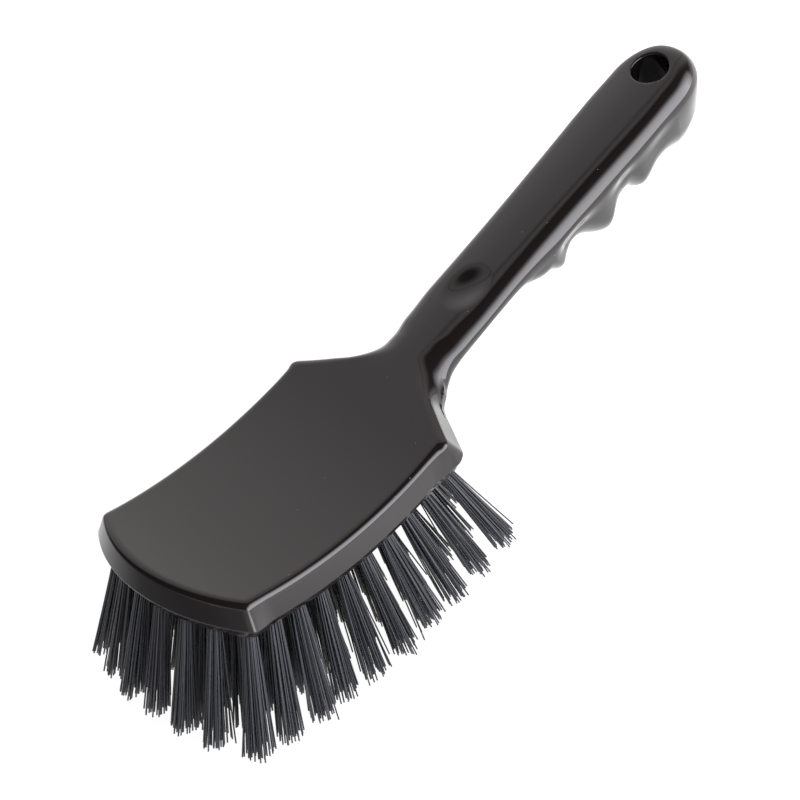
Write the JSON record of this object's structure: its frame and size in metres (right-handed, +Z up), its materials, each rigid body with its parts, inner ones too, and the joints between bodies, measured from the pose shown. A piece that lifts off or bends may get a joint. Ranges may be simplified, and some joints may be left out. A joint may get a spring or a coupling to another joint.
{
  "type": "wheel brush",
  "caption": "Short-handled wheel brush: curved block with integral finger-grooved handle, hanging hole and splayed stiff bristle tufts",
  "frame": {"origin": "centre of the bottom of the bounding box: on the lowest bristle ends, on the centre plane", "axes": "+X along the brush from the front edge to the handle end, +Y to the left seen from the front edge towards the handle, +Z up out of the top of the block"},
  "size_m": [0.2967, 0.0882, 0.1095],
  "materials": {
    "moulding": "gloss black, as moulded",
    "bristles": "black extruded filament, slight sheen"
  },
  "bodies": {
    "root": {"handle_block": "moulding", "tuft_front_centre": "bristles", "tuft_inner_left_01": "bristles", "tuft_inner_left_02": "bristles", "tuft_inner_left_03": "bristles", "tuft_inner_left_04": "bristles", "tuft_inner_left_05": "bristles", "tuft_inner_left_06": "bristles", "tuft_inner_left_07": "bristles", "tuft_inner_left_08": "bristles", "tuft_inner_left_09": "bristles", "tuft_inner_right_01": "bristles", "tuft_inner_right_02": "bristles", "tuft_inner_right_03": "bristles", "tuft_inner_right_04": "bristles", "tuft_inner_right_05": "bristles", "tuft_inner_right_06": "bristles", "tuft_inner_right_07": "bristles", "tuft_inner_right_08": "bristles", "tuft_inner_right_09": "bristles", "tuft_outer_left_01": "bristles", "tuft_outer_left_02": "bristles", "tuft_outer_left_03": "bristles", "tuft_outer_left_04": "bristles", "tuft_outer_left_05": "bristles", "tuft_outer_left_06": "bristles", "tuft_outer_left_07": "bristles", "tuft_outer_left_08": "bristles", "tuft_outer_left_09": "bristles", "tuft_outer_left_10": "bristles", "tuft_outer_right_01": "bristles", "tuft_outer_right_02": "bristles", "tuft_outer_right_03": "bristles", "tuft_outer_right_04": "bristles", "tuft_outer_right_05": "bristles", "tuft_outer_right_06": "bristles", "tuft_outer_right_07": "bristles", "tuft_outer_right_08": "bristles", "tuft_outer_right_09": "bristles", "tuft_outer_right_10": "bristles", "tuft_second_left_01": "bristles", "tuft_second_left_02": "bristles", "tuft_second_left_03": "bristles", "tuft_second_left_04": "bristles", "tuft_second_left_05": "bristles", "tuft_second_left_06": "bristles", "tuft_second_left_07": "bristles", "tuft_second_left_08": "bristles", "tuft_second_left_09": "bristles", "tuft_second_left_10": "bristles", "tuft_second_right_01": "bristles", "tuft_second_right_02": "bristles", "tuft_second_right_03": "bristles", "tuft_second_right_04": "bristles", "tuft_second_right_05": "bristles", "tuft_second_right_06": "bristles", "tuft_second_right_07": "bristles", "tuft_second_right_08": "bristles", "tuft_second_right_09": "bristles", "tuft_second_right_10": "bristles"}
  },
  "joints": []
}
